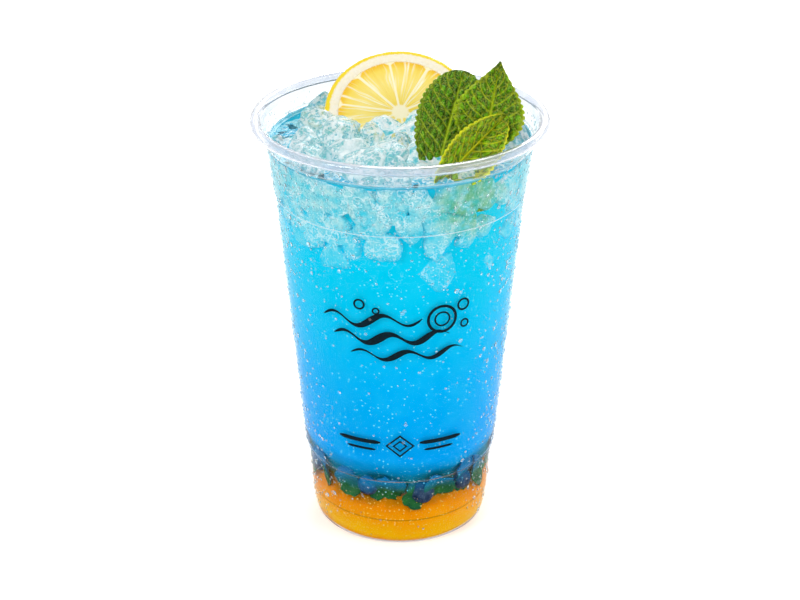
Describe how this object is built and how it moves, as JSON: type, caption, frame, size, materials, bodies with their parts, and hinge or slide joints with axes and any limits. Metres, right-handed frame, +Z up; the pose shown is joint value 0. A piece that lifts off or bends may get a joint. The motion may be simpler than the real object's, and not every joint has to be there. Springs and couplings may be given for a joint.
{
  "type": "cup of layered blue lemonade",
  "caption": "Clear tapered plastic cup filled with blue lemonade over orange syrup, topped with crushed ice, a lemon wheel and a mint sprig.",
  "frame": {"origin": "centre of the ring that the cup stands on, at table level", "axes": "+Z up along the cup's axis; the mint sprig leans over the rim at -Y and +X, and the lemon wheel faces -Y"},
  "size_m": [0.095, 0.095, 0.1645],
  "materials": {
    "clear_plastic": "clear glossy PET, beaded with fine condensation",
    "orange_syrup": "glossy amber syrup with fine bubbles",
    "blue_drink": "cloudy cyan-blue drink with fine bubbles",
    "ice": "wet crushed ice",
    "lemon": "wet pulp, white pith, dimpled yellow zest",
    "mint": "quilted, finely veined leaf with a soft gloss"
  },
  "bodies": {
    "root": {"cup": "clear_plastic", "syrup_layer": "orange_syrup", "blue_lemonade": "blue_drink", "ice_heap": "ice", "lemon_wheel": "lemon", "mint_stem": "mint", "mint_leaf_left": "mint", "mint_leaf_right": "mint", "mint_leaf_front": "mint", "mint_leaf_back": "mint", "mint_leaf_low": "mint"}
  },
  "joints": []
}
